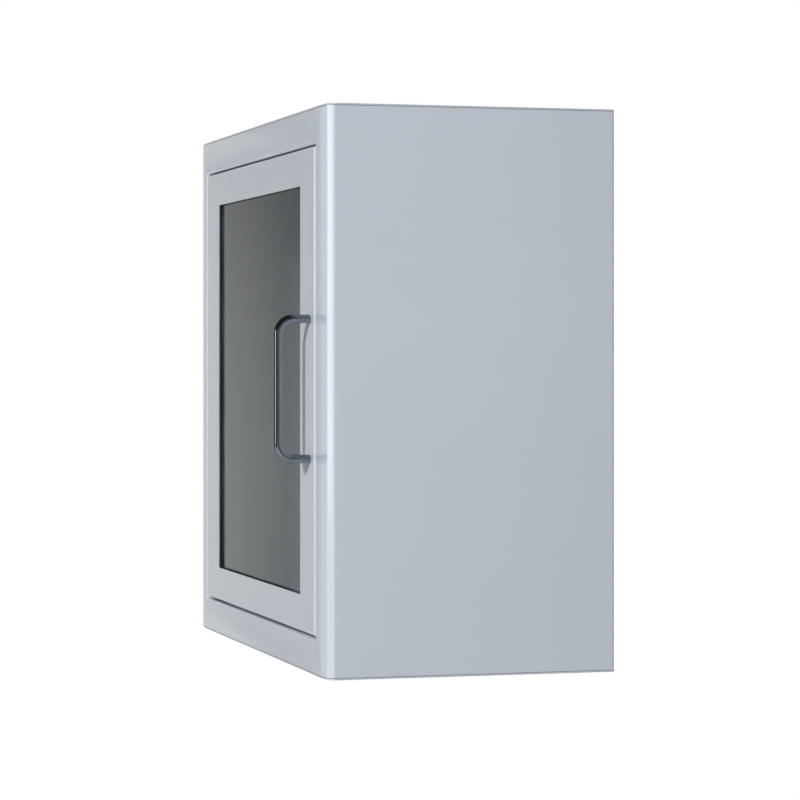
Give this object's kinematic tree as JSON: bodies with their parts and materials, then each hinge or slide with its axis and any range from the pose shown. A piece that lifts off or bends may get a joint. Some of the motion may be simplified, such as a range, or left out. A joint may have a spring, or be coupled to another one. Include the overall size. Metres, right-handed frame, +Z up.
{
  "type": "standpipe cabinet",
  "caption": "Surface-mounted sheet-steel wall cabinet with a flush, hinged, glazed door, a bow handle, a magnetic catch and keyholes in its back.",
  "frame": {"origin": "centre of the rear face, where the cabinet lies on the wall", "axes": "+X to the right of someone facing the door, +Y into the wall, +Z up"},
  "size_m": [0.41, 0.2307, 0.388],
  "materials": {
    "paint": "smooth gloss powder coat, bluish light grey",
    "steel": "satin",
    "zinc": "zinc plated",
    "rubber": "matt black",
    "nylon": "moulded grey nylon",
    "ferrite": "sintered ferrite",
    "glass": "clear with a slight grey-green tint"
  },
  "bodies": {
    "cabinet": {"wrapper": "paint", "top_panel": "paint", "bottom_panel": "paint", "back_panel": "paint", "upper_hinge_bracket": "zinc", "lower_hinge_bracket": "zinc", "upper_hinge_bush": "nylon", "lower_hinge_bush": "nylon", "upper_stop_bracket": "zinc", "lower_stop_bracket": "zinc", "upper_door_buffer": "rubber", "lower_door_buffer": "rubber", "catch_bracket": "zinc", "catch_housing": "nylon", "catch_magnet": "ferrite", "catch_pole_left": "steel", "catch_pole_right": "steel", "catch_screw_upper": "zinc", "catch_screw_lower": "zinc"},
    "door": {"door_panel": "paint", "window_gasket": "rubber", "window_pane": "glass", "retainer_top": "zinc", "retainer_bottom": "zinc", "retainer_left": "zinc", "retainer_right": "zinc", "retainer_nut_1": "zinc", "retainer_nut_2": "zinc", "retainer_nut_3": "zinc", "retainer_nut_4": "zinc", "retainer_nut_5": "zinc", "retainer_nut_6": "zinc", "retainer_nut_7": "zinc", "retainer_nut_8": "zinc", "handle": "steel", "handle_screw_upper": "zinc", "handle_screw_lower": "zinc", "handle_washer_upper": "zinc", "handle_washer_lower": "zinc", "strike_plate": "steel", "strike_rivet_upper": "zinc", "strike_rivet_lower": "zinc", "lower_hinge_pin": "zinc", "upper_pin_guide": "zinc", "upper_pin_spring": "zinc"},
    "upper_pin": {"upper_hinge_pin": "zinc"}
  },
  "joints": [
    {"name": "door_hinge", "type": "hinge", "parent": "cabinet", "child": "door", "pos_m": [-0.1675, -0.199, 0], "axis": [0, 0, -1], "range_deg": [0, 120]},
    {"name": "upper_pin_slide", "type": "slide", "parent": "door", "child": "upper_pin", "axis": [0, 0, -1], "range_m": [0, 0.007], "stiffness_N_per_m": 300, "springref_m": -0.004, "deforming": ["upper_pin_spring"]}
  ]
}
